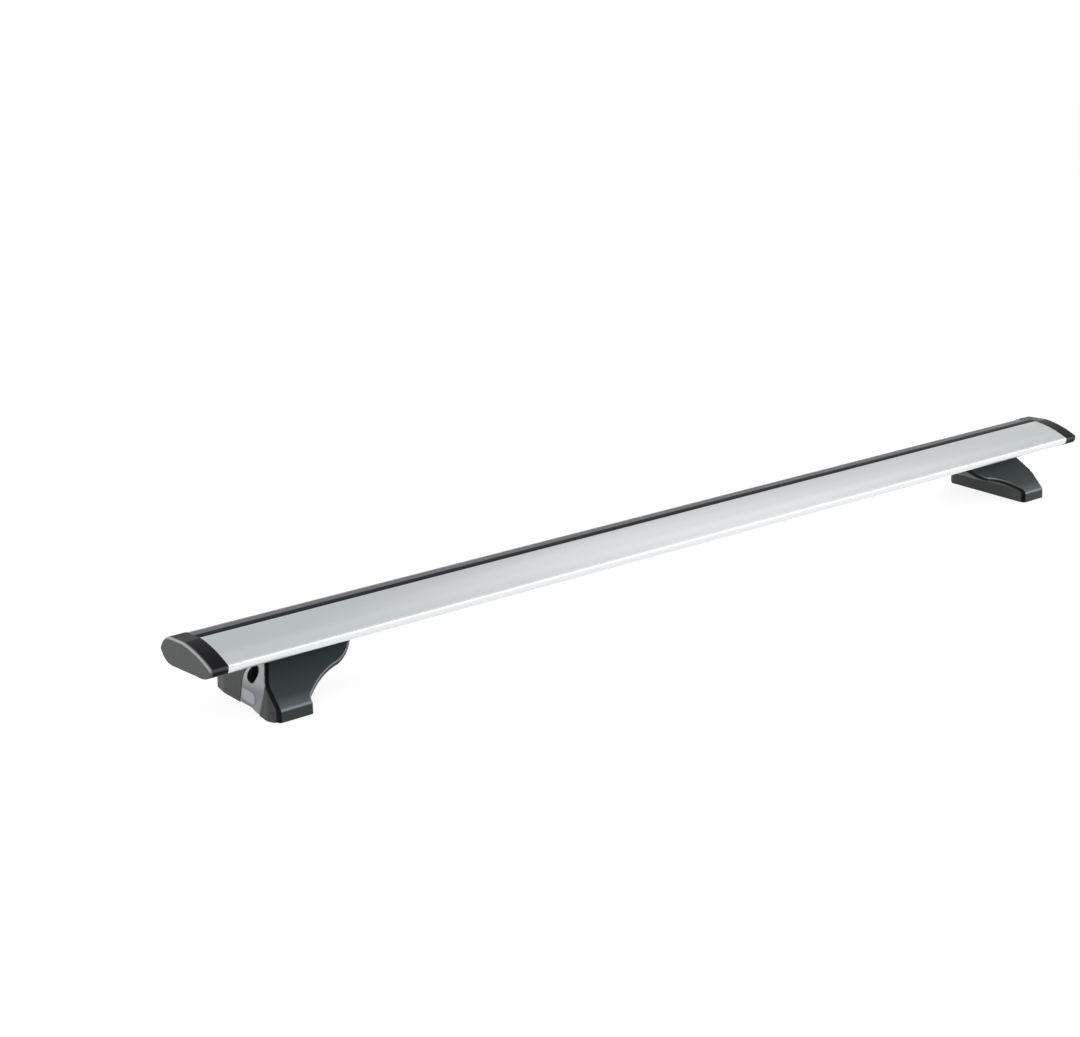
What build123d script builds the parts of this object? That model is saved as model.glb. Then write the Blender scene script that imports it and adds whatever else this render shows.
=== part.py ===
"""Aero roof rack crossbar on two lockable feet, in millimetres.

+X runs along the bar, +Z is up, and the thin edge of the bar and the covers of the feet face -Y.
The origin is on the ground, midway between the feet.
"""
from build123d import *
import math
import os

# Bar: its section is drawn from the centre of the clamp channel, on the flat underside
bar_length = 1176.0         # over both end caps
bar_height = 25.6
nose_reach = 50.0           # clamp channel to the narrow face along the leading edge
nose_low = 4.2              # lower corner of that face
nose_high = 11.0            # upper corner of that face
nose_tuck = 2.2             # how far the lower corner lies behind the upper one
tail_reach = 34.3           # clamp channel to the trailing edge
tail_level = 12.8           # height of the trailing edge's outermost line
flat_front = 25.0           # flat underside, ahead of the channel
flat_rear = 19.0            # flat underside, behind the channel
crest_front = 6.0           # flat crest, ahead of the channel
crest_rear = 17.5           # flat crest, behind the channel
under_rise = 1.7            # how far each curve of the section stands off its chord
nose_rise = 0.8
crown_rise = 2.1
tail_rise = 2.8
bar_wall = 2.0
bar_pitch = 4.0             # degrees that the thin edge is raised
seat_y = -4.0               # clamp channel's centre line
seat_z = 49.4               # bar's underside at the clamp channel

# Top slot and its rubber strip
slot_y = 7.0                # from the clamp channel's centre
slot_recess_width = 20.6
slot_recess_depth = 2.6
slot_throat = 11.0
slot_lip = 2.2
slot_width = 20.0
slot_height = 6.5
strip_width = 17.6
strip_crown = 0.8
strip_drop = 0.3            # edges of the strip below the rim of its recess
strip_clearance = 0.25
strip_lip = 1.8             # how far the strip's lips reach under the slot's lips
strip_foot = 2.0            # thickness of the strip's lips
strip_skin = 2.0            # rubber left over the hollow of its stem

# Clamp channel in the underside
channel_mouth = 8.6
channel_lip = 2.4
channel_width = 18.0
channel_height = 6.5

# End caps
collar_length = 15.2
collar_wall = 2.4
collar_proud = 0.4
spigot_length = 18.0
spigot_wall = 2.0
face_thickness = 2.8
face_bevel = 1.5
register_length = 4.0
plug_clearance = 0.25

# Feet
foot_setback = 79.8         # end of the bar to the centre of the plinth
foot_front = 58.0
foot_rear = 58.0
plinth_inner = 18.2         # plinth's centre to its wall that faces the middle of the bar
plinth_outer = 17.9         # plinth's centre to its wall that faces the end of the bar
plinth_height = 12.3
front_slope = 46.1          # degrees from upright
rear_slope = 51.0
neck_reach = 84.0           # plinth's centre to the tip of the flared neck
neck_tip_level = 46.0
flare_reach = 58.6          # where the flare turns up to the tip
flare_level = 28.7
lean_level = 28.8           # above this the outer wall leans in
lean_angle = 34.6
lean_radius = 14.0
crease_rise = 2.5           # hollow of the curve from the plinth to the flare
tip_rise = 2.6              # fullness of the curve from the flare to the tip
crease_radius = 2.0          # where the plinth's inner wall turns into the flare
fold_radius = 5.5
edge_radius = 3.4           # rounding between the front and the side walls
toe_out = 4.0               # how far the front outer corner spreads at the ground
toe_front = 4.0             # how far along the front edge the spread starts
toe_crown = 20.0            # from the front edge to the widest place
toe_rear = 46.0             # from the front edge to where the spread ends
toe_tuck = 1.0              # how far the tip of the spread lies inside the outer wall
corner_cut = 9.0            # facets of the plinth's rear corners
corner_long = 25.0          # how far the shallow facet of the outer corner reaches forward
corner_step = 2.7           # width of that facet
front_lip = 0.6             # how far the front face leans back up to its fold
housing_wall = 2.8
saddle_wall = 2.6
saddle_gap = 0.3
housing_lift = 0.8          # housing's rim above the ground

# Front cover
cover_depth = 4.2           # thickness, measured level
cover_gap = 0.5
cover_rim = 2.3             # edge of the foot to the edge of the hatch's ledge
cover_ledge = 2.4
cover_lift = 1.2
cover_top_gap = 0.8
hatch_depth = 42.0          # from the front edge to the back of the hatch
hatch_top = 6.6             # housing left over the hatch, below the underside of the bar
tab_width = 4.0
tab_height = 2.5
tab_level = 10.0
tab_catch = 2.0             # width of the catch that the cam covers
tab_play = 0.7
lip_height = 10.0

# Lock and the light panel round it
lock_y = -13.0
lock_z = 32.0
barrel_radius = 6.5
flange_radius = 7.1
flange_thickness = 1.5
lock_clearance = 0.08
barrel_face = 7.2           # from the plinth's centre
barrel_tail = -7.0
sleeve_wall = 2.4
key_slot_width = 1.6
key_slot_height = 8.0
key_slot_depth = 5.0
cam_thickness = 2.5
cam_length = 16.0
cam_width = 6.0
cam_hub_radius = 5.0
lock_screw_radius = 3.5
lock_screw_height = 2.2
panel_thickness = 2.2
panel_gap = 0.15
panel_lift = 1.8            # lower edge of the panel above the ground
panel_foot_rear = 6.8       # Y of the panel's rear edge at the ground
panel_knee_rear = -1.3      # Y of the panel's rear edge where the wall leans in
panel_top_rear = -5.0       # Y of the panel's rear edge under the bar
panel_front = -31.0         # Y of the panel's front edge at the ground
panel_strip = 5.2           # front surface to the panel, measured level

# Bracket, pad and clamp hardware
plate_thickness = 4.0
plate_front = 7.8
plate_rear = 13.0
plate_inner = 76.0
plate_outer = 1.0
web_thickness = 4.0
web_front = 2.0
web_rear = 29.0
web_heel = 3.0              # upright rear edge of the web above the base plate
pad_thickness = 3.0
pad_inset = 3.3
base_front = 46.0
base_rear = 30.0
fixing_x = 3.0              # from the plinth's centre
fixing_y = -34.0
fixing_radius = 4.25
pad_hole_radius = 6.0
clamp_inner = 56.0          # plinth's centre to the far clamp bolt
clamp_outer = 22.0          # plinth's centre to the near clamp bolt
bolt_radius = 3.0
bolt_hole_radius = 3.3
bolt_head_length = 15.0
bolt_head_width = 8.0
bolt_head_height = 3.5
bolt_play = 0.15
bolt_tail = 1.0
washer_radius = 6.0
washer_thickness = 1.6
nut_flats = 10.0
nut_height = 5.0
thread_clearance = 0.05

far = 200.0                 # longer than any cut has to be

profile_length = bar_length - 2 * (collar_length + face_thickness)
foot_x = bar_length / 2 - foot_setback


def bulge(start, end, rise):
    """An arc between two points that rises to the left of the way."""
    across = end[0] - start[0]
    along = end[1] - start[1]
    span = math.hypot(across, along)
    middle = ((start[0] + end[0]) / 2 - along / span * rise, (start[1] + end[1]) / 2 + across / span * rise)
    return ThreePointArc(start, middle, end)


def patch(low_x, high_x, low_y, high_y):
    """A rectangle between two corners."""
    return Pos((low_x + high_x) / 2, (low_y + high_y) / 2) * Rectangle(high_x - low_x, high_y - low_y)


def block(low, high):
    """A box between two corners."""
    size = [high[i] - low[i] for i in range(3)]
    middle = [(high[i] + low[i]) / 2 for i in range(3)]
    return Pos(*middle) * Box(*size)


def along_x(face, start, end):
    """Extrudes an outline of Y and Z between two places along the bar."""
    return Pos(start, 0, 0) * extrude(Plane.YZ * face, amount=end - start)


def across_y(face):
    """Extrudes an outline of X and Z through the whole depth."""
    return extrude(Plane.XZ * face, amount=far, both=True)


def upward(face, start, end):
    """Extrudes a plan between two heights."""
    return Pos(0, 0, start) * extrude(face, amount=end - start)


def on_bar(shape):
    """Places a shape that is drawn from the clamp channel's centre on the underside."""
    return Pos(0, seat_y, seat_z) * Rot(-bar_pitch, 0, 0) * shape


def rod_x(radius, start, end, y, z):
    """A cylinder along X."""
    return Pos((start + end) / 2, y, z) * Rot(0, 90, 0) * Cylinder(radius, end - start)


def rod_z(radius, start, end, x, y):
    """A cylinder along Z."""
    return Pos(x, y, (start + end) / 2) * Cylinder(radius, end - start)


# Bar


def section():
    """Outline of the bar: flat underside, narrow leading edge, crowned top and full trailing edge."""
    under_rear = (flat_rear, 0)
    under_front = (-flat_front, 0)
    edge_low = (-nose_reach + nose_rise + nose_tuck, nose_low)
    edge_high = (-nose_reach + nose_rise, nose_high)
    crest_start = (-crest_front, bar_height)
    crest_end = (crest_rear, bar_height)
    tail = (tail_reach, tail_level)
    return make_face([
        Line(under_rear, under_front),
        bulge(under_front, edge_low, under_rise),
        bulge(edge_low, edge_high, nose_rise),
        bulge(edge_high, crest_start, crown_rise),
        Line(crest_start, crest_end),
        bulge(crest_end, tail, tail_rise),
        bulge(tail, under_rear, tail_rise),
    ])


slot_lip_top = bar_height - slot_recess_depth
slot_top = slot_lip_top - slot_lip
slot_bottom = slot_top - slot_height
channel_top = channel_lip + channel_height


def chambers():
    """The closed hollows beside the two channels."""
    slot_block = patch(slot_y - slot_width / 2 - bar_wall, slot_y + slot_width / 2 + bar_wall,
                       channel_top, bar_height)
    channel_block = patch(-channel_width / 2 - bar_wall, channel_width / 2 + bar_wall, 0, slot_bottom)
    return offset(section(), amount=-bar_wall) - slot_block - channel_block


def bar_profile():
    """Hollow extrusion with a slot along its top and a clamp channel along its underside."""
    recess = patch(slot_y - slot_recess_width / 2, slot_y + slot_recess_width / 2, slot_lip_top, bar_height + 1)
    throat = patch(slot_y - slot_throat / 2, slot_y + slot_throat / 2, slot_bottom, bar_height)
    slot = patch(slot_y - slot_width / 2, slot_y + slot_width / 2, slot_bottom, slot_top)
    mouth = patch(-channel_mouth / 2, channel_mouth / 2, -1, channel_top)
    channel = patch(-channel_width / 2, channel_width / 2, channel_lip, channel_top)
    face = section() - chambers() - recess - throat - slot - mouth - channel
    return on_bar(along_x(face, -profile_length / 2, profile_length / 2))


def top_strip():
    """Rubber strip: a crowned head in the recess, a stem in the throat and two holding lips."""
    half = strip_width / 2
    edge = bar_height - strip_drop
    head = make_face([
        Line((slot_y + half, slot_lip_top), (slot_y - half, slot_lip_top)),
        Line((slot_y - half, slot_lip_top), (slot_y - half, edge)),
        bulge((slot_y - half, edge), (slot_y + half, edge), strip_crown),
        Line((slot_y + half, edge), (slot_y + half, slot_lip_top)),
    ])
    stem_half = slot_throat / 2 - strip_clearance
    lip_half = stem_half + strip_lip
    hollow_half = stem_half - strip_foot
    foot = slot_top - strip_foot
    stem = patch(slot_y - stem_half, slot_y + stem_half, foot, slot_lip_top)
    lips = patch(slot_y - lip_half, slot_y + lip_half, foot, slot_top - strip_clearance)
    hollow = patch(slot_y - hollow_half, slot_y + hollow_half, foot - 1, bar_height - strip_drop - strip_skin)
    return on_bar(along_x(head + stem + lips - hollow, -profile_length / 2, profile_length / 2))


def cap_collar():
    """Dark end collar with hollow spigots that push into the bar's chambers."""
    start = profile_length / 2
    end = start + collar_length
    outline = offset(section(), amount=collar_proud)
    hollow = offset(section(), amount=-collar_wall)
    plug = offset(chambers(), amount=-plug_clearance)
    plug_hollow = offset(chambers(), amount=-plug_clearance - spigot_wall)
    collar = along_x(outline, start, end) - along_x(hollow, start + collar_wall, end + 1)
    spigots = along_x(plug - plug_hollow, start - spigot_length, start + collar_wall / 2)
    return on_bar(collar + spigots)


def cap_face():
    """End plate with a bevelled edge and a rim that registers inside the collar."""
    start = profile_length / 2 + collar_length
    outline = offset(section(), amount=collar_proud)
    plate = along_x(outline, start, start + face_thickness - face_bevel)
    plate += Pos(start + face_thickness - face_bevel, 0, 0) * extrude(Plane.YZ * outline, face_bevel, taper=45)
    rim_outer = offset(section(), amount=-collar_wall - plug_clearance)
    rim_inner = offset(section(), amount=-collar_wall - plug_clearance - spigot_wall)
    rim = along_x(rim_outer - rim_inner, start - register_length, start)
    return on_bar(plate + rim)


# Outlines of the foot: X is measured from the plinth's centre, outward


def front_outline():
    """The foot from the front: plinth, flared neck and the outer wall that leans in."""
    top = seat_z + 2 * plinth_height
    outer_top = plinth_outer - (top - lean_level) * math.tan(math.radians(lean_angle))
    crease = (-plinth_inner, plinth_height)
    turn = (-flare_reach, flare_level)
    tip = (-neck_reach, neck_tip_level)
    outer = FilletPolyline((outer_top, top), (plinth_outer, lean_level), (plinth_outer, 0), radius=lean_radius)
    outline = make_face([
        Line((plinth_outer, 0), (-plinth_inner, 0)),
        Line((-plinth_inner, 0), crease),
        bulge(crease, turn, -crease_rise),
        bulge(turn, tip, tip_rise),
        Line(tip, (-neck_reach, top)),
        Line((-neck_reach, top), (outer_top, top)),
        outer,
    ])
    corner = min(outline.vertices(), key=lambda vertex: math.hypot(vertex.X - crease[0], vertex.Y - crease[1]))
    return fillet([corner], crease_radius)


def side_outline():
    """The foot from its end: plinth, sloping front and sloping rear."""
    top = seat_z + plinth_height / 2
    rise = top - plinth_height
    front_top = -foot_front + rise * math.tan(math.radians(front_slope))
    rear_top = foot_rear - rise * math.tan(math.radians(rear_slope))
    edge = FilletPolyline((-foot_front, 0), (-foot_front + front_lip, plinth_height), (front_top, top),
                          (rear_top, top), (foot_rear, plinth_height), (foot_rear, 0), radius=fold_radius)
    return make_face([edge, Line((foot_rear, 0), (-foot_front, 0))])


def plan_outline():
    """The foot from above: both rear corners are cut, the outer one in two facets."""
    cut_y = foot_rear - corner_cut
    return make_face(Polyline(
        (-far, -far), (plinth_outer, -far), (plinth_outer, foot_rear - corner_long),
        (plinth_outer - corner_step, cut_y), (plinth_outer - corner_cut, foot_rear),
        (-plinth_inner + corner_cut, foot_rear), (-plinth_inner, cut_y), (-far, cut_y), close=True))


def above_saddle(drop):
    """Everything above a level under the bar."""
    return on_bar(block((-far, -far, -drop), (far, far, far)))


def toe():
    """Rounded cone that spreads the front outer corner towards the ground."""
    start = (plinth_outer - toe_front, -foot_front)
    crown = (plinth_outer + toe_out, -foot_front + toe_crown)
    end = (plinth_outer, -foot_front + toe_rear)
    inner = (plinth_outer - toe_front, -foot_front + toe_rear)
    base = make_face([bulge(start, crown, -toe_out), bulge(crown, end, -toe_out / 4), Line(end, inner),
                      Line(inner, start)])
    knee_y = -foot_front + (lean_level - plinth_height) * math.tan(math.radians(front_slope))
    return loft([base.face(), Vertex(plinth_outer - toe_tuck, knee_y + 2 * toe_tuck, lean_level)])


def front_edges(shape):
    """Edges between the front of a shape and its side walls, from the ground to the bar."""
    edges = []
    for edge in shape.edges():
        start, middle, end = [edge.position_at(share) for share in (0, 0.5, 1)]
        front = -foot_front + max(0, middle.Z - plinth_height) * math.tan(math.radians(front_slope))
        if abs(end.Z - start.Z) > front_lip and abs(middle.Y - front) < 2 * front_lip:
            edges.append(edge)
    return edges


def foot_form():
    """Outer form of the foot, housing and cover together."""
    form = across_y(front_outline()) & along_x(side_outline(), -far, far) & upward(plan_outline(), 0, far)
    form = form + toe() - above_saddle(saddle_gap)
    return fillet(front_edges(form), edge_radius)


def hatch_region():
    """The hatch from the front, inside the ledge that the cover rests against."""
    edge = cover_rim + cover_ledge
    low = cover_lift + cover_ledge
    region = offset(front_outline(), amount=-edge)
    region += patch(-plinth_inner + edge, plinth_outer - edge, low, plinth_height)
    return region & patch(-far, far, low, seat_z - hatch_top)


def front_layer(depth):
    """Front skin of the foot, as deep as asked."""
    return along_x(side_outline() - Pos(depth, 0) * side_outline(), -far, far)


def panel_region(grow):
    """The light panel from the end: it leans forward and stops behind the cover."""
    slope = math.tan(math.radians(front_slope))
    top = seat_z + plinth_height
    front_low = -foot_front + (lean_level - plinth_height) * slope + panel_strip
    front_top = -foot_front + (top - plinth_height) * slope + panel_strip
    outline = Polyline((panel_foot_rear, 0), (panel_knee_rear, lean_level), (panel_top_rear, top), (front_top, top),
                       (front_low, lean_level), (panel_front, 0), close=True)
    return offset(make_face(outline), amount=grow)


def panel_layer():
    """Outer skin of the foot, as deep as the light panel."""
    form = foot_form()
    return form - Pos(-panel_thickness, 0, 0) * form


def cavity():
    """Inside of the housing, open to the ground."""
    low = -housing_wall
    front = offset(front_outline(), amount=-housing_wall)
    front += patch(-plinth_inner + housing_wall, plinth_outer - housing_wall, low, plinth_height - housing_wall)
    side = offset(side_outline(), amount=-housing_wall)
    side += patch(-foot_front + housing_wall, foot_rear - housing_wall, low, plinth_height - housing_wall)
    side = side & Pos(cover_depth + cover_gap, 0) * side
    plan = offset(plan_outline(), amount=-housing_wall)
    space = across_y(front) & along_x(side, -far, far) & upward(plan, low, far)
    return space - above_saddle(saddle_gap + saddle_wall)


def clamp_places():
    """X of the two clamp bolts, from the plinth's centre."""
    return (-clamp_inner, -clamp_outer)


def bolt_holes():
    """Holes for the clamp bolts through saddle and plate, square to the underside of the bar."""
    depth = saddle_gap + saddle_wall + plate_thickness
    holes = [rod_z(bolt_hole_radius, -depth, 0, x, 0) for x in clamp_places()]
    return on_bar(holes[0] + holes[1])


def foot_housing():
    """Moulded shell of the foot."""
    form = foot_form()
    hatch = across_y(hatch_region()) & block((-far, -far, 0), (far, -foot_front + hatch_depth, far))
    shell = form - cavity() - hatch - front_layer(cover_depth + cover_gap)
    shell = shell - (panel_layer() & along_x(panel_region(panel_gap), -far, far))
    seat = barrel_face - flange_thickness
    sleeve_radius = barrel_radius + lock_clearance + sleeve_wall
    sleeve = rod_x(sleeve_radius, barrel_tail + lock_clearance, plinth_outer, lock_y, lock_z)
    inside = Pos(-panel_thickness, 0, 0) * form
    shell = shell + (sleeve & inside)
    shell = shell - rod_x(barrel_radius + lock_clearance, barrel_tail, seat, lock_y, lock_z)
    shell = shell - rod_x(flange_radius + lock_clearance, seat, far, lock_y, lock_z)
    shell = shell - bolt_holes()
    return shell - block((-far, -far, -far), (far, far, housing_lift))


def lock_panel():
    """Light panel let into the outer face, with the round mouth of the lock."""
    panel = panel_layer() & along_x(panel_region(0), -far, far)
    panel = panel - rod_x(flange_radius + lock_clearance, 0, far, lock_y, lock_z)
    return panel - block((-far, -far, -far), (far, far, panel_lift))


def front_cover():
    """Removable front cover, with the tab that the lock's cam catches."""
    cover = foot_form() & front_layer(cover_depth)
    cover = cover - above_saddle(cover_top_gap) - block((-far, -far, -far), (far, far, cover_lift))
    tab_x = barrel_tail - cam_thickness + tab_catch
    lip_y = lock_y + cam_width / 2 + tab_play
    tab = block((tab_x - tab_width, -foot_front + cover_depth / 2, tab_level),
                (tab_x, lip_y + tab_height, tab_level + tab_height))
    lip = block((tab_x - tab_width, lip_y, tab_level), (tab_x, lip_y + tab_height, tab_level + lip_height))
    return cover + tab + lip


def foot_bracket():
    """Cast bracket: saddle plate under the bar, web, and base plate on the pad."""
    top = -saddle_gap - saddle_wall
    plate = on_bar(block((-plate_inner, -plate_front, top - plate_thickness), (plate_outer, plate_rear, top)))
    base_top = pad_thickness + plate_thickness
    web_top = seat_z - plate_thickness
    web_face = make_face(Polyline((web_front, pad_thickness), (web_rear, pad_thickness),
                                  (web_rear, base_top + web_heel), (seat_y + plate_rear, web_top - web_heel),
                                  (web_front, web_top - web_heel), close=True))
    web = along_x(web_face, -web_thickness, 0)
    base = upward(base_plan(), pad_thickness, base_top)
    bracket = plate + (web - above_saddle(saddle_gap + saddle_wall)) + base
    bracket = bracket - rod_z(fixing_radius, 0, base_top + plate_thickness, fixing_x, fixing_y)
    return bracket - bolt_holes()


def pad_plan():
    """Plan of the rubber pad, inside the rim of the housing."""
    front = -foot_front + cover_depth + pad_inset
    inside = patch(-plinth_inner + pad_inset, plinth_outer - pad_inset, front, foot_rear)
    return offset(plan_outline(), amount=-pad_inset) & inside


def base_plan():
    """Plan of the bracket's base plate."""
    return pad_plan() & patch(-far, far, -base_front, base_rear)


def base_pad():
    """Rubber pad that the foot stands on."""
    hole = rod_z(pad_hole_radius, 0, pad_thickness, fixing_x, fixing_y)
    return upward(pad_plan(), 0, pad_thickness) - hole


nut_top = -saddle_gap - saddle_wall - plate_thickness - washer_thickness
bolt_end = nut_top - nut_height - bolt_tail


def clamp_bolts():
    """Two T-headed bolts whose heads ride in the clamp channel."""
    low = channel_lip + bolt_play
    bolts = []
    for x in clamp_places():
        head = block((x - bolt_head_width / 2, -bolt_head_length / 2, low),
                     (x + bolt_head_width / 2, bolt_head_length / 2, low + bolt_head_height))
        bolts.append(on_bar(head + rod_z(bolt_radius, bolt_end, low, x, 0)))
    return Compound(children=bolts)


def clamp_washers():
    """Washers under the bracket's saddle plate."""
    washers = []
    for x in clamp_places():
        ring = rod_z(washer_radius, nut_top, nut_top + washer_thickness, x, 0)
        washers.append(on_bar(ring - rod_z(bolt_hole_radius, nut_top, 0, x, 0)))
    return Compound(children=washers)


def clamp_nuts():
    """Hexagon nuts that draw the bolts down."""
    nuts = []
    for x in clamp_places():
        prism = Pos(x, 0, 0) * upward(RegularPolygon(nut_flats / 2, 6, major_radius=False), nut_top - nut_height, nut_top)
        nuts.append(on_bar(prism - rod_z(bolt_radius + thread_clearance, bolt_end, 0, x, 0)))
    return Compound(children=nuts)


def lock_barrel():
    """Lock barrel with a front flange and a key slot."""
    barrel = rod_x(barrel_radius, barrel_tail, barrel_face, lock_y, lock_z)
    barrel += rod_x(flange_radius, barrel_face - flange_thickness + lock_clearance, barrel_face, lock_y, lock_z)
    slot = block((barrel_face - key_slot_depth, lock_y - key_slot_width / 2, lock_z - key_slot_height / 2),
                 (barrel_face + 1, lock_y + key_slot_width / 2, lock_z + key_slot_height / 2))
    return barrel - slot


def lock_cam():
    """Cam on the tail of the barrel: it points at the cover when unlocked and down when locked."""
    start = barrel_tail - cam_thickness
    hub = rod_x(cam_hub_radius, start, barrel_tail, lock_y, lock_z)
    finger = block((start, lock_y - cam_length, lock_z - cam_width / 2), (barrel_tail, lock_y, lock_z + cam_width / 2))
    return hub + finger


def lock_screw():
    """Screw head that holds the cam."""
    start = barrel_tail - cam_thickness
    return rod_x(lock_screw_radius, start - lock_screw_height, start, lock_y, lock_z)


foot_parts = {
    "foot_housing": foot_housing,
    "lock_panel": lock_panel,
    "foot_bracket": foot_bracket,
    "base_pad": base_pad,
    "clamp_bolts": clamp_bolts,
    "clamp_washers": clamp_washers,
    "clamp_nuts": clamp_nuts,
    "front_cover": front_cover,
    "lock_barrel": lock_barrel,
    "lock_cam": lock_cam,
    "lock_screw": lock_screw,
}
cap_parts = {"cap_collar": cap_collar, "cap_face": cap_face}


def write(shape, name):
    export_step(shape, "parts/" + name + ".step")


def write_pair(shape, name):
    """The right-hand piece as drawn, and its mirror image on the left."""
    write(shape, "right_" + name)
    write(mirror(shape, about=Plane.YZ), "left_" + name)


os.makedirs("parts", exist_ok=True)
write(bar_profile(), "bar_profile")
write(top_strip(), "top_strip")
for name, maker in cap_parts.items():
    write_pair(maker(), name)
for name, maker in foot_parts.items():
    write_pair(Pos(foot_x, 0, 0) * maker(), name)
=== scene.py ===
"""Looks of the aero roof rack crossbar, dressed round its packed model.

All sizes are in metres, in the model's own frame: +X along the bar, +Z up, the leading edge towards -Y.
"""
import math

import bmesh
import bpy
from bpy.props import FloatProperty, FloatVectorProperty, PointerProperty
from mathutils import Matrix, Vector


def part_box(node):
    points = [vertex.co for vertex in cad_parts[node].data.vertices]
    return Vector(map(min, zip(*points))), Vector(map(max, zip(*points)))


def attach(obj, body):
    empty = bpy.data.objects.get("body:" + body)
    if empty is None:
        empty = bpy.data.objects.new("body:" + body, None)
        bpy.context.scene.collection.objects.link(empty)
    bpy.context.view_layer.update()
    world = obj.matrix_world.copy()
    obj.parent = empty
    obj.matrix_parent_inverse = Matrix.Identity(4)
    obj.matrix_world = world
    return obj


bl_info = {
    "name": "Roof rack crossbar",
    "version": (1, 0, 0),
    "blender": (4, 5, 0),
    "location": "3D View > Sidebar > Crossbar",
    "description": "Finishes for the bar, its end caps and its lockable feet, and the studio round them",
    "category": "Object",
}

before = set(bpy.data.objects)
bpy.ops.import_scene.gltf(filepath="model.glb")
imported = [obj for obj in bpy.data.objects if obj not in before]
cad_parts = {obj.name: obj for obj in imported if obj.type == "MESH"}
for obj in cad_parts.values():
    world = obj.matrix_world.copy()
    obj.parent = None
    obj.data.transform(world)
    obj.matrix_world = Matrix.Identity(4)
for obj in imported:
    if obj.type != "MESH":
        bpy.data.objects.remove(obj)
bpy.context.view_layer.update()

SIDES = {"left": -1, "right": 1}


# Shader helpers


class Surface:
    """A material under construction: a shader, and short ways to add the nodes that drive it."""

    def __init__(self, name, metallic=0.0, roughness=0.5, specular=0.5):
        self.material = bpy.data.materials.new(name)
        self.material.use_nodes = True
        self.tree = self.material.node_tree
        self.tree.nodes.clear()
        output = self.tree.nodes.new("ShaderNodeOutputMaterial")
        self.shader = self.tree.nodes.new("ShaderNodeBsdfPrincipled")
        self.tree.links.new(self.shader.outputs["BSDF"], output.inputs["Surface"])
        self.shader.inputs["Metallic"].default_value = metallic
        self.shader.inputs["Roughness"].default_value = roughness
        self.shader.inputs["Specular IOR Level"].default_value = specular
        self.place = self.tree.nodes.new("ShaderNodeTexCoord").outputs["Object"]

    def node(self, kind, inputs=(), **settings):
        """Adds a node, sets it, and feeds its inputs with values or with other nodes' outputs."""
        made = self.tree.nodes.new(kind)
        for key, value in settings.items():
            setattr(made, key, value)
        for key, value in dict(inputs).items():
            if isinstance(value, bpy.types.NodeSocket):
                self.tree.links.new(value, made.inputs[key])
            else:
                made.inputs[key].default_value = value
        return made

    def math(self, operation, first, second=0.0):
        """Output of a Math node."""
        return self.node("ShaderNodeMath", {0: first, 1: second}, operation=operation).outputs[0]

    def times(self, first, second):
        """Two values multiplied."""
        return self.math("MULTIPLY", first, second)

    def stretched(self, scale):
        """The object's coordinates, scaled by axis."""
        return self.node("ShaderNodeMapping", {"Vector": self.place, "Scale": scale}).outputs["Vector"]

    def noise(self, scale, detail=2.0, place=None):
        """Noise from 0 to 1."""
        inputs = {"Vector": place or self.place, "Scale": scale, "Detail": detail}
        return self.node("ShaderNodeTexNoise", inputs).outputs["Fac"]

    def between(self, value, low, high):
        """Maps a value from 0..1 to low..high."""
        inputs = {"Value": value, "To Min": low, "To Max": high}
        return self.node("ShaderNodeMapRange", inputs).outputs["Result"]

    def step(self, value, start, end):
        """Rises smoothly from 0 to 1 between two values."""
        inputs = {"Value": value, "From Min": start, "From Max": end}
        return self.node("ShaderNodeMapRange", inputs, interpolation_type="SMOOTHSTEP").outputs["Result"]

    def band(self, value, rise, fall):
        """Rises from 0 to 1 over one range of values and falls back over another."""
        return self.times(self.step(value, *rise), self.step(value, *fall))

    def blend(self, factor, first, second):
        """Blends two colours."""
        made = self.node("ShaderNodeMix", {"Factor": factor}, data_type="RGBA")
        for socket, value in ((made.inputs[6], first), (made.inputs[7], second)):
            if isinstance(value, bpy.types.NodeSocket):
                self.tree.links.new(value, socket)
            else:
                socket.default_value = (*value[:3], 1.0)
        return made.outputs[2]

    def axes(self):
        """X, Y and Z of the surface in the model's frame."""
        return self.node("ShaderNodeSeparateXYZ", {0: self.place}).outputs

    def facing(self):
        """X, Y and Z of the direction that the surface faces, in the model's frame."""
        normal = self.node("ShaderNodeTexCoord").outputs["Normal"]
        return self.node("ShaderNodeSeparateXYZ", {0: normal}).outputs

    def bump(self, height, strength, distance, normal=None):
        """A fine relief, from a height between 0 and 1."""
        inputs = {"Height": height, "Strength": strength, "Distance": distance}
        if normal:
            inputs["Normal"] = normal
        return self.node("ShaderNodeBump", inputs).outputs["Normal"]

    def soft_edges(self, radius):
        """A normal that rounds the sharp edges."""
        return self.node("ShaderNodeBevel", {"Radius": radius}, samples=6).outputs["Normal"]

    def drive(self, **sockets):
        """Feeds the shader's sockets."""
        for key, value in sockets.items():
            self.tree.links.new(value, self.shader.inputs[key.replace("_", " ")])

    def fed_by(self, socket):
        """The output that feeds one of the shader's sockets so far."""
        return self.shader.inputs[socket].links[0].from_socket

    def paint(self, mask, colour):
        """Lays a colour over the base colour so far, where the mask is 1."""
        self.drive(Base_Color=self.blend(mask, self.fed_by("Base Color"), colour))


def tint(colour, factor):
    """A colour made lighter or darker."""
    return tuple(min(1.0, channel * factor) for channel in colour[:3])


def give(material, nodes):
    """Puts one material on CAD nodes."""
    for name in nodes:
        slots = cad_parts[name].data.materials
        slots.clear()
        slots.append(material)


def both(name):
    """A node's two names, one for each end of the bar."""
    return [side + "_" + name for side in SIDES]


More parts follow.
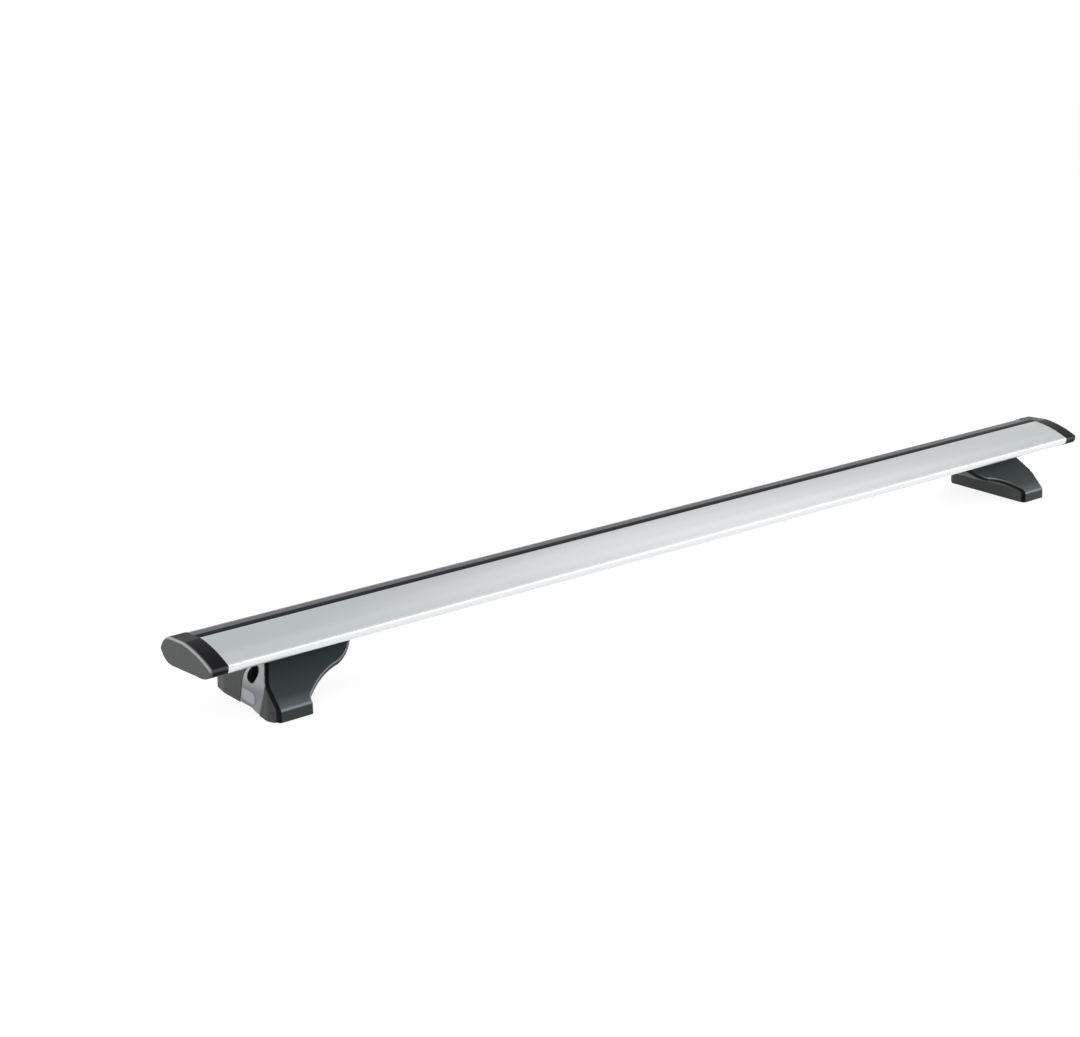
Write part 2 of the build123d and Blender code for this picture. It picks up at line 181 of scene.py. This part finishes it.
def moulded_plastic(name, colour, roughness, edge=0.0007, specular=0.3):
    """Fine-grained moulded plastic with slightly rounded edges."""
    surface = Surface(name, roughness=roughness, specular=specular)
    patches = surface.noise(35.0, 3.0)
    pores = surface.noise(2600.0, 1.0)
    handling = surface.noise(120.0)
    surface.drive(Base_Color=surface.blend(patches, tint(colour, 0.93), tint(colour, 1.07)))
    surface.drive(Roughness=surface.between(handling, roughness - 0.04, roughness + 0.05))
    surface.drive(Normal=surface.bump(pores, 0.35, 0.00004, surface.soft_edges(edge)))
    return surface


def bare_metal(name, colour, roughness, edge=0.0004):
    """Plated or cast metal with a fine uneven sheen."""
    surface = Surface(name, metallic=1.0, roughness=roughness)
    cloud = surface.noise(180.0, 4.0)
    brushing = surface.noise(700.0)
    surface.drive(Base_Color=surface.blend(cloud, tint(colour, 0.86), tint(colour, 1.1)))
    surface.drive(Roughness=surface.between(brushing, roughness - 0.06, roughness + 0.1))
    surface.drive(Normal=surface.bump(cloud, 0.2, 0.00005, surface.soft_edges(edge)))
    return surface


# Settings


def colour_setting(name, description, default):
    return FloatVectorProperty(name=name, description=description, default=default, size=3,
                               min=0.0, max=1.0, subtype="COLOR")


def length_setting(name, description, default):
    return FloatProperty(name=name, description=description, default=default, min=0.0, unit="LENGTH",
                         subtype="DISTANCE", precision=4)


def share_setting(name, description, default):
    return FloatProperty(name=name, description=description, default=default, min=0.0, max=1.0,
                         subtype="FACTOR")


def gain_setting(name, description, default):
    return FloatProperty(name=name, description=description, default=default, min=0.0)


def power_setting(name, description, default):
    return FloatProperty(name=name, description=description, default=default, min=0.0, unit="POWER")


def angle_setting(name, description, degrees):
    return FloatProperty(name=name, description=description, default=math.radians(degrees), subtype="ANGLE")


class CrossbarBar(bpy.types.PropertyGroup):
    """Finish of the bar and its strip."""
    silver: colour_setting("Silver", "Anodised face of the bar", (0.425, 0.452, 0.454))
    roughness: share_setting("Roughness", "Roughness of the anodised face", 0.33)
    edge_round: length_setting("Rounded edges", "Radius that softens the bar's edges", 0.0015)
    slope_start: length_setting("Front slope's start", "How far in front of the middle it begins", 0.032)
    slope_end: length_setting("Front slope's full tone", "How far in front of the middle it is full", 0.042)
    # The front slope's paler tone is a painted highlight.
    slope_highlight_gain: gain_setting("Front slope's gain", "How much paler the front slope is", 1.13)
    # The bright leading edge is a painted highlight, a painted reflection of the floor.
    bright: colour_setting("Bright edge", "Leading edge of the bar", (0.74, 0.76, 0.765))
    bright_level: length_setting("Bright edge's top", "Height of the leading edge's upper corner", 0.0640)
    bright_start: length_setting("Bright edge's start", "How far in front of the middle it begins", 0.030)
    bright_end: length_setting("Bright edge's full tone", "How far in front of the middle it is full", 0.045)
    rubber: colour_setting("Rubber", "Strip along the top", (0.108, 0.113, 0.120))
    # This colour is painted shade, on the recess's front rim and on the strip's front.
    groove_shade: colour_setting("Groove", "Front rim of the recess, front of the strip", (0.0105, 0.011, 0.013))
    dark_share: share_setting("Dark band", "Share of the strip's width that its dark front takes", 0.42)
    # The tinted rims beside the strip are painted shade.
    rim_width: length_setting("Recess's rim", "Width of the tinted rims beside the strip", 0.0017)
    rear_rim_shade_gain: gain_setting("Rear rim's gain", "How much paler than rubber the rear rim is", 2.2)


class CrossbarCaps(bpy.types.PropertyGroup):
    """Finish of the end caps."""
    collar: colour_setting("Collar", "Dark collar", (0.006, 0.006, 0.0075))
    # The nose's paler tone is a painted highlight.
    nose: colour_setting("Collar's nose", "Upper half of the collar's rounded nose", (0.055, 0.056, 0.062))
    face: colour_setting("Face", "End plate", (0.051, 0.0545, 0.0535))
    # The bevel's pale colour is a painted highlight.
    bevel: colour_setting("Bevel", "Polished bevel of the end plate", (0.30, 0.31, 0.31))


class CrossbarFeet(bpy.types.PropertyGroup):
    """Finish of the feet."""
    housing: colour_setting("Housing", "Moulded housing", (0.039, 0.0445, 0.044))
    panel: colour_setting("Panel", "Light panel round the lock", (0.218, 0.225, 0.226))
    # The panel's paler top is painted light.
    panel_top_light: colour_setting("Panel's top", "Light panel under the bar", (0.74, 0.76, 0.76))
    # The mouth's colour is painted shade.
    mouth: colour_setting("Lock mouth", "Wall of the lock's mouth", (0.006, 0.006, 0.007))
    cover: colour_setting("Cover", "Removable front cover", (0.028, 0.036, 0.036))
    # The edge's black is painted shade on the side towards -X.
    edge_shade: colour_setting("Cover's edge", "Rounded edge of the cover towards -X", (0.002, 0.002, 0.002))
    # The fold's paler colour and the band above it are a painted highlight.
    fold_highlight: colour_setting("Cover's fold", "Rounded fold of the cover, worn paler", (0.17, 0.18, 0.20))
    fold_level: length_setting("Fold's height", "Height of the cover's fold above the ground", 0.0125)
    fold_fade: length_setting("Fold's fade", "How far the paler band fades upward", 0.0100)
    fold_sheen: share_setting("Fold's sheen", "Strength of the paler band", 0.45)


class CrossbarPlates(bpy.types.PropertyGroup):
    """Blank plates on the outer faces of the feet."""
    colour: colour_setting("Colour", "Plain moulded plastic", (0.37, 0.395, 0.435))
    forward: length_setting("Place", "How far in front of the foot's middle the plate lies", 0.0090)
    level: length_setting("Level", "Height of the plate's middle above the ground", 0.0110)
    width: length_setting("Width", "Width of the plate", 0.0210)
    height: length_setting("Height", "Height of the plate", 0.0110)
    proud: length_setting("Thickness", "How far the plate stands proud of the panel", 0.0007)
    sunk: length_setting("Sunk", "How far the plate's edge reaches into the panel", 0.0004)
    radius: length_setting("Corners", "Radius of the plate's corners", 0.0030)


class CrossbarHardware(bpy.types.PropertyGroup):
    """Finish of the brackets, bolts, locks and pads."""
    steel: colour_setting("Steel", "Zinc-plated bolts, washers, nuts, cams and screws", (0.55, 0.56, 0.57))
    nickel: colour_setting("Nickel", "Lock barrels", (0.50, 0.50, 0.51))
    casting: colour_setting("Casting", "Cast brackets", (0.42, 0.43, 0.44))
    pad: colour_setting("Pad", "Rubber pads", (0.012, 0.012, 0.012))
    pad_specks: colour_setting("Pad's specks", "Paler specks in the rubber pads", (0.022, 0.022, 0.022))


class CrossbarStudio(bpy.types.PropertyGroup):
    """Camera and light."""
    floor: colour_setting("Floor", "Plain pale floor", (0.90, 0.90, 0.90))
    floor_radius: length_setting("Floor's radius", "Radius of the floor's disc", 24.0)
    glow: gain_setting("Glow", "Light of the floor's own", 1.10)
    glow_share: share_setting("Glow's share", "Share of the glow in what is seen of the floor", 0.8)
    ambience: share_setting("Ambience", "Even light from all round", 0.70)
    key_power: power_setting("Key", "Lamp that shines in the middle of the bar", 3.6)
    key_colour: colour_setting("Key's colour", "Slightly warm light on the bar's middle", (1.0, 0.90, 0.95))
    top_power: power_setting("Top", "Wide lamp overhead", 22.0)
    fill_power: power_setting("Fill", "Lamp in front of the covers", 10.0)
    fold_power: power_setting("Fold", "Long lamp that draws the folds of the covers", 16.0)
    rim_power: power_setting("Rim", "Low lamp that draws the feet's edges towards +X", 20.0)
    rear_power: power_setting("Rear", "Lamp behind the near end", 14.0)
    camera_place: FloatVectorProperty(name="Camera's place", description="Where the camera stands", size=3,
                                      default=(-1.3659, -1.4315, 0.6886), unit="LENGTH",
                                      subtype="TRANSLATION")
    lens: FloatProperty(name="Lens", description="Focal length of the camera", default=67.25,
                        unit="CAMERA", subtype="DISTANCE_CAMERA")
    yaw: angle_setting("Yaw", "Turn of the camera to the right of straight ahead", 39.404)
    pitch: angle_setting("Pitch", "Tilt of the camera down from level", 17.509)


SETTINGS = {"crossbar_bar": CrossbarBar, "crossbar_caps": CrossbarCaps, "crossbar_feet": CrossbarFeet,
            "crossbar_plates": CrossbarPlates, "crossbar_hardware": CrossbarHardware,
            "crossbar_studio": CrossbarStudio}


# Bar


class CROSSBAR_OT_bar(bpy.types.Operator):
    """Anodised finish for the extrusion and rubber for its strip"""
    bl_idname = "crossbar.bar"
    bl_label = "Bar and strip"

    def execute(self, context):
        bar = context.scene.crossbar_bar
        give(self.anodised(bar), ["bar_profile"])
        give(self.rubber(bar), ["top_strip"])
        return {"FINISHED"}

    def anodised(self, bar):
        """Satin silver with faint drawing lines; painted highlights make it paler down the front slope and
        bright at the edge, and painted shade tints the rims beside the strip.
        """
        surface = Surface("anodised_silver", metallic=0.85, roughness=bar.roughness)
        lines = surface.noise(1.0, 3.0, surface.stretched((3.0, 1400.0, 1400.0)))
        cloud = surface.noise(1.0, 2.0, surface.stretched((6.0, 25.0, 25.0)))
        drawn = surface.blend(lines, tint(bar.silver, 0.95), tint(bar.silver, 1.05))
        surface.drive(Base_Color=surface.blend(cloud, drawn, tint(bar.silver, 1.04)))
        place = surface.axes()
        # Painted highlight: the front slope is painted paler, where light falls on it.
        slope = surface.step(place["Y"], -bar.slope_start, -bar.slope_end)
        surface.paint(slope, tint(bar.silver, bar.slope_highlight_gain))
        # Painted highlight along the leading edge.
        surface.paint(self.leading_edge(surface, bar, place), bar.bright)
        # Painted shade on the recess's rims: pale rubber grey on the rear rim, near black on the front one.
        surface.paint(self.rim(surface, bar, place, 1), tint(bar.rubber, bar.rear_rim_shade_gain))
        surface.paint(self.rim(surface, bar, place, -1), bar.groove_shade)
        surface.drive(Roughness=surface.between(lines, bar.roughness - 0.04, bar.roughness + 0.06))
        surface.drive(Normal=surface.bump(lines, 0.12, 0.00003, surface.soft_edges(bar.edge_round)))
        return surface.material

    def leading_edge(self, surface, bar, place):
        """Mask of the painted highlight: 1 on the leading edge, fading out above its corner and back under
        the bar.
        """
        above, below = 0.0012, 0.0008
        low = surface.step(place["Z"], bar.bright_level + above, bar.bright_level - below)
        front = surface.step(place["Y"], -bar.bright_start, -bar.bright_end)
        return surface.times(low, front)

    def rim(self, surface, bar, place, side):
        """Mask of painted shade: 1 on the rear (side 1) or front (side -1) rim of the recess that holds the
        strip.
        """
        low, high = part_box("top_strip")
        middle = (low[1] + high[1]) / 2
        reach = (high[1] - low[1]) / 2 + bar.rim_width
        soft, sharp = 0.001, 0.0002
        above = surface.step(place["Z"], low[2] - soft, low[2])
        away = surface.times(surface.math("SUBTRACT", place["Y"], middle), side)
        return surface.times(above, surface.band(away, (0.0, soft), (reach, reach - sharp)))

    def rubber(self, bar):
        """Dull, faintly dusty rubber with fine flow lines, and painted shade on its front: a dark band."""
        surface = Surface("strip_rubber", roughness=0.6, specular=0.05)
        lines = surface.noise(1.0, 2.0, surface.stretched((8.0, 900.0, 900.0)))
        dust = surface.noise(60.0, 4.0)
        clean = surface.blend(lines, tint(bar.rubber, 0.85), tint(bar.rubber, 1.15))
        dusty = surface.blend(surface.between(dust, 0.0, 0.25), clean, tint(bar.rubber, 1.8))
        surface.drive(Base_Color=dusty)
        # Painted shade: the front share of the strip is painted near black.
        low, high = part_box("top_strip")
        border = low[1] + (high[1] - low[1]) * bar.dark_share
        soft = 0.0012
        front = surface.step(surface.axes()["Y"], border + soft, border - soft)
        surface.paint(front, bar.groove_shade)
        surface.drive(Roughness=surface.between(dust, 0.55, 0.7))
        surface.drive(Normal=surface.bump(lines, 0.3, 0.00008))
        return surface.material


# End caps


class CROSSBAR_OT_caps(bpy.types.Operator):
    """Moulded finish for the collars and end plates"""
    bl_idname = "crossbar.caps"
    bl_label = "End caps"

    def execute(self, context):
        caps = context.scene.crossbar_caps
        give(self.collar(caps), both("cap_collar"))
        give(self.end_plate(caps), both("cap_face"))
        return {"FINISHED"}

    def collar(self, caps):
        """Near-black plastic, with a painted highlight where the nose rounds over."""
        surface = moulded_plastic("collar_plastic", caps.collar, roughness=0.32, specular=0.05)
        turned = surface.facing()
        # Painted highlight on the upper half of the nose.
        forward = surface.step(turned["Y"], -0.8, -0.95)
        upward = surface.step(turned["Z"], -0.22, 0.0)
        surface.paint(surface.times(forward, upward), caps.nose)
        return surface.material

    def end_plate(self, caps):
        """Dull plate with a painted highlight on its bevel, where the bevel isn't turned to the ground."""
        surface = moulded_plastic("end_plate_plastic", caps.face, roughness=0.5, edge=0.0005)
        turned = surface.facing()
        sloped = surface.band(surface.math("ABSOLUTE", turned["X"]), (0.2, 0.4), (0.97, 0.85))
        upward = surface.step(turned["Z"], -0.25, 0.15)
        # Painted highlight on the bevel where it faces up.
        surface.paint(surface.times(sloped, upward), caps.bevel)
        return surface.material


# Feet


def lock_axis():
    """Y and Z of the lock's axis, and the radius of its barrel."""
    low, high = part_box("left_lock_barrel")
    return (low[1] + high[1]) / 2, (low[2] + high[2]) / 2, (high[1] - low[1]) / 2


class CROSSBAR_OT_feet(bpy.types.Operator):
    """Moulded finish for the housings, panels and covers, with painted shade in the mouth of the lock"""
    bl_idname = "crossbar.feet"
    bl_label = "Housings and covers"

    def execute(self, context):
        feet = context.scene.crossbar_feet
        housing = self.with_mouth("housing_plastic", feet.housing, 0.5, feet)
        give(housing.material, both("foot_housing"))
        panel = self.with_mouth("panel_plastic", feet.panel, 0.45, feet, feet.panel_top_light)
        give(panel.material, both("lock_panel"))
        give(self.cover(feet), both("front_cover"))
        return {"FINISHED"}

    def cover(self, feet):
        """Dark cover, with painted shade (black) on its rounded edge towards -X and a painted highlight
        along the fold.
        """
        surface = moulded_plastic("cover_plastic", feet.cover, roughness=0.34, edge=0.0009, specular=0.13)
        turned = surface.facing()
        # Painted highlight on the rounded fold.
        fold = surface.band(turned["Z"], (0.1, 0.35), (0.66, 0.45))
        # Painted shade on the rounded edge towards -X.
        edge = surface.step(turned["X"], -0.06, -0.35)
        surface.paint(fold, feet.fold_highlight)
        surface.paint(self.sheen(surface, turned, feet), feet.fold_highlight)
        surface.paint(edge, feet.edge_shade)
        duller = surface.between(edge, 0.0, 0.3)
        surface.drive(Roughness=surface.math("ADD", surface.fed_by("Roughness"), duller))
        return surface.material

    def sheen(self, surface, turned, feet):
        """Painted highlight: a paler band that fades upward from the cover's fold."""
        fold, fade = feet.fold_level, feet.fold_fade
        band = surface.band(surface.axes()["Z"], (fold - fade / 4, fold), (fold + fade, fold))
        forward = surface.step(turned["Y"], -0.5, -0.8)
        return surface.times(surface.times(band, feet.fold_sheen), forward)

    def with_mouth(self, name, colour, roughness, feet, top=None):
        """Moulded plastic, with painted shade (black) on the wall of the lock's mouth and, if asked, painted
        light: paler towards the bar.
        """
        surface = moulded_plastic(name, colour, roughness, edge=0.003)
        lock_y, lock_z, radius = lock_axis()
        place = surface.axes()
        off_y = surface.math("SUBTRACT", place["Y"], lock_y)
        off_z = surface.math("SUBTRACT", place["Z"], lock_z)
        squares = surface.math("ADD", surface.times(off_y, off_y), surface.times(off_z, off_z))
        wall, soft = radius + 0.0001, 0.0002
        inside = surface.step(surface.math("SQRT", squares), wall + soft, wall)
        # Painted light: the panel is painted paler towards the top, under the bar.
        if top is not None:
            upward = surface.step(place["Z"], lock_z - 0.015, lock_z + 0.01)
            surface.paint(upward, top)
        # Painted shade: the wall of the lock's mouth is painted near black.
        surface.paint(inside, feet.mouth)
        return surface


# Blank plates


class CROSSBAR_OT_plates(bpy.types.Operator):
    """Blank plates on the outer faces of the feet"""
    bl_idname = "crossbar.plates"
    bl_label = "Blank plates"

    # The plate's rim from its edge inwards: share of the outline, share of the thickness
    RIM = ((1.0, 0.4), (0.97, 0.8), (0.92, 1.0), (0.75, 1.0), (0.5, 1.0), (0.25, 1.0))
    CORNER_STEPS = 6

    def execute(self, context):
        plates = context.scene.crossbar_plates
        material = moulded_plastic("plate_plastic", plates.colour, roughness=0.3).material
        for side, sign in SIDES.items():
            self.plate(plates, side, sign, material)
        return {"FINISHED"}

    def plate(self, plates, side, sign, material):
        """A rounded rectangle with a soft rim that follows the panel it lies on."""
        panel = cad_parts[side + "_lock_panel"]
        mesh = bmesh.new()

        def ring(share, height):
            """The outline at one share of its size and one height over the panel."""
            return [self.on_panel(mesh, panel, sign, plates, y * share, z * share, height)
                    for y, z in self.outline(plates)]

        loops = [ring(1.0, -plates.sunk)]
        loops += [ring(share, rise * plates.proud) for share, rise in self.RIM]
        centre = self.on_panel(mesh, panel, sign, plates, 0.0, 0.0, plates.proud)
        count = len(loops[0])
        for outer, inner in zip(loops, loops[1:]):
            for i in range(count):
                j = (i + 1) % count
                mesh.faces.new((outer[i], outer[j], inner[j], inner[i]))
        for i in range(count):
            mesh.faces.new((loops[-1][i], loops[-1][(i + 1) % count], centre))
        mesh.faces.new(loops[0])
        bmesh.ops.recalc_face_normals(mesh, faces=mesh.faces)
        for face in mesh.faces:
            face.smooth = True
        data = bpy.data.meshes.new(side + "_blank_plate")
        mesh.to_mesh(data)
        mesh.free()
        plate = bpy.data.objects.new(side + "_blank_plate", data)
        bpy.context.collection.objects.link(plate)
        data.materials.append(material)
        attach(plate, side + "_foot")

    def outline(self, plates):
        """The rounded rectangle, from its centre."""
        points = []
        for corner, (across, up) in enumerate(((1, 1), (-1, 1), (-1, -1), (1, -1))):
            centre_y = across * (plates.width / 2 - plates.radius)
            centre_z = up * (plates.height / 2 - plates.radius)
            for part in range(self.CORNER_STEPS + 1):
                turn = math.radians(90 * (corner + part / self.CORNER_STEPS))
                points.append((centre_y + plates.radius * math.cos(turn),
                               centre_z + plates.radius * math.sin(turn)))
        return points

    def on_panel(self, mesh, panel, sign, plates, y, z, height):
        """A point at a height over the outer face of the panel, found from 1 m out along X."""
        outside = (sign, y - plates.forward, z + plates.level)
        hit, wall, _, _ = panel.ray_cast(outside, (-sign, 0, 0))
        if not hit:
            raise RuntimeError("the blank plate reaches past the panel at " + str(outside))
        return mesh.verts.new((wall.x + sign * height, outside[1], outside[2]))


# Hardware


class CROSSBAR_OT_hardware(bpy.types.Operator):
    """Metal finishes for the brackets, bolts and locks, and rubber for the pads"""
    bl_idname = "crossbar.hardware"
    bl_label = "Brackets, bolts and locks"

    def execute(self, context):
        hardware = context.scene.crossbar_hardware
        steel = bare_metal("zinc_steel", hardware.steel, 0.35).material
        for name in ("clamp_bolts", "clamp_washers", "clamp_nuts", "lock_cam", "lock_screw"):
            give(steel, both(name))
        give(bare_metal("lock_nickel", hardware.nickel, 0.25).material, both("lock_barrel"))
        casting = bare_metal("cast_bracket", hardware.casting, 0.55, edge=0.0008)
        give(casting.material, both("foot_bracket"))
        give(self.pad(hardware), both("base_pad"))
        return {"FINISHED"}

    def pad(self, hardware):
        """Dull black rubber with fine paler specks."""
        surface = Surface("pad_rubber", roughness=0.8, specular=0.3)
        specks = surface.noise(900.0, 3.0)
        surface.drive(Base_Color=surface.blend(specks, hardware.pad, hardware.pad_specks))
        surface.drive(Normal=surface.bump(specks, 0.4, 0.0001))
        return surface.material


# Studio


# Each lamp's place, the point that it is aimed at, and its size
LAMPS = {
    "key": ((1.6, 1.0, 1.7), (0.0, 0.0, 0.06), (1.3, 0.8)),
    "top": ((-0.3, -0.6, 2.4), (0.0, 0.0, 0.0), (3.0, 1.8)),
    "fill": ((0.9, -1.9, 0.85), (0.15, 0.0, 0.05), (1.4, 0.9)),
    "fold": ((1.55, -1.75, 0.6), (0.9, 0.0, 0.03), (2.7, 0.25)),
    "rim": ((2.4, 0.85, 0.15), (-0.45, 0.0, 0.04), (0.7, 0.25)),
    "rear": ((-2.0, 1.5, 0.8), (-0.5, 0.0, 0.03), (1.0, 0.6)),
}


class CROSSBAR_OT_studio(bpy.types.Operator):
    """Pale floor, soft lamps, even world light and the camera"""
    bl_idname = "crossbar.studio"
    bl_label = "Studio"

    def execute(self, context):
        studio = context.scene.crossbar_studio
        context.scene.view_settings.view_transform = "Standard"
        self.world(context.scene, studio)
        self.floor(studio)
        lamps = {name: self.lamp(name, getattr(studio, name + "_power"), *LAMPS[name]) for name in LAMPS}
        lamps["key"].data.color = studio.key_colour
        lamps["top"].visible_glossy = False
        self.camera(context.scene, studio)
        return {"FINISHED"}

    def seen_straight(self, tree):
        """1 for what the camera sees, also through or in a shiny surface."""
        path = tree.nodes.new("ShaderNodeLightPath")
        total = path.outputs["Is Camera Ray"]
        for name in ("Is Glossy Ray", "Is Transmission Ray"):
            add = tree.nodes.new("ShaderNodeMath")
            add.operation = "ADD"
            add.use_clamp = True
            tree.links.new(total, add.inputs[0])
            tree.links.new(path.outputs[name], add.inputs[1])
            total = add.outputs[0]
        return total

    def background(self, tree, strength):
        """A white background of one strength."""
        made = tree.nodes.new("ShaderNodeBackground")
        made.inputs["Color"].default_value = (1, 1, 1, 1)
        made.inputs["Strength"].default_value = strength
        return made.outputs[0]

    def mixed(self, tree, factor, first, second, output):
        """Feeds a new output with two shaders mixed."""
        mix = tree.nodes.new("ShaderNodeMixShader")
        tree.links.new(factor, mix.inputs["Fac"])
        tree.links.new(first, mix.inputs[1])
        tree.links.new(second, mix.inputs[2])
        tree.links.new(mix.outputs[0], tree.nodes.new(output).inputs["Surface"])

    def world(self, scene, studio):
        """White to the eye, a little darker as light."""
        world = bpy.data.worlds.new("studio_world")
        scene.world = world
        world.use_nodes = True
        tree = world.node_tree
        tree.nodes.clear()
        white = self.background(tree, 1.0)
        light = self.background(tree, studio.ambience)
        self.mixed(tree, self.seen_straight(tree), light, white, "ShaderNodeOutputWorld")

    def floor(self, studio):
        """A wide disc under the pads that keeps a faint shadow on white."""
        mesh = bmesh.new()
        bmesh.ops.create_circle(mesh, cap_ends=True, segments=96, radius=studio.floor_radius)
        data = bpy.data.meshes.new("studio_floor")
        mesh.to_mesh(data)
        mesh.free()
        floor = bpy.data.objects.new("studio_floor", data)
        bpy.context.collection.objects.link(floor)
        material = bpy.data.materials.new("pale_floor")
        material.use_nodes = True
        tree = material.node_tree
        tree.nodes.clear()
        diffuse = tree.nodes.new("ShaderNodeBsdfDiffuse")
        diffuse.inputs["Color"].default_value = (*studio.floor, 1.0)
        glow = tree.nodes.new("ShaderNodeEmission")
        glow.inputs["Strength"].default_value = studio.glow
        share = tree.nodes.new("ShaderNodeMath")
        share.operation = "MULTIPLY"
        share.inputs[1].default_value = studio.glow_share
        tree.links.new(self.seen_straight(tree), share.inputs[0])
        self.mixed(tree, share.outputs[0], diffuse.outputs[0], glow.outputs[0], "ShaderNodeOutputMaterial")
        data.materials.append(material)

    def lamp(self, name, power, place, target, size):
        """A soft rectangular lamp aimed at a point."""
        light = bpy.data.lights.new(name, "AREA")
        light.shape = "RECTANGLE"
        light.size, light.size_y = size
        light.energy = power
        lamp = bpy.data.objects.new(name, light)
        bpy.context.collection.objects.link(lamp)
        aim = (Vector(target) - Vector(place)).to_track_quat("-Z", "Y")
        lamp.matrix_world = Matrix.Translation(place) @ aim.to_matrix().to_4x4()
        return lamp

    def camera(self, scene, studio):
        """The photograph's viewing angle."""
        data = bpy.data.cameras.new("camera")
        data.sensor_fit = "HORIZONTAL"
        data.sensor_width = 36.0
        data.lens = studio.lens
        data.clip_end = 100.0
        camera = bpy.data.objects.new("camera", data)
        bpy.context.collection.objects.link(camera)
        camera.location = studio.camera_place
        camera.rotation_euler = (math.pi / 2 - studio.pitch, 0.0, -studio.yaw)
        scene.camera = camera


# Panel and registration


OPERATORS = [CROSSBAR_OT_studio, CROSSBAR_OT_bar, CROSSBAR_OT_caps, CROSSBAR_OT_feet, CROSSBAR_OT_plates,
             CROSSBAR_OT_hardware]


class CROSSBAR_PT_panel(bpy.types.Panel):
    """Lists the steps and their settings"""
    bl_idname = "CROSSBAR_PT_panel"
    bl_label = "Roof rack crossbar"
    bl_space_type = "VIEW_3D"
    bl_region_type = "UI"
    bl_category = "Crossbar"

    def draw(self, context):
        for operator in OPERATORS:
            self.layout.operator(operator.bl_idname)
        for name, group in SETTINGS.items():
            box = self.layout.box()
            box.label(text=group.__doc__)
            for key in group.__annotations__:
                box.prop(getattr(context.scene, name), key)


def register():
    for group in SETTINGS.values():
        bpy.utils.register_class(group)
    for name, group in SETTINGS.items():
        setattr(bpy.types.Scene, name, PointerProperty(type=group))
    for operator in OPERATORS:
        bpy.utils.register_class(operator)
    bpy.utils.register_class(CROSSBAR_PT_panel)


def unregister():
    bpy.utils.unregister_class(CROSSBAR_PT_panel)
    for operator in reversed(OPERATORS):
        bpy.utils.unregister_class(operator)
    for name, group in SETTINGS.items():
        delattr(bpy.types.Scene, name)
        bpy.utils.unregister_class(group)


def main():
    register()
    bpy.ops.crossbar.studio()
    bpy.ops.crossbar.bar()
    bpy.ops.crossbar.caps()
    bpy.ops.crossbar.feet()
    bpy.ops.crossbar.plates()
    bpy.ops.crossbar.hardware()


if __name__ == "__main__":
    main()
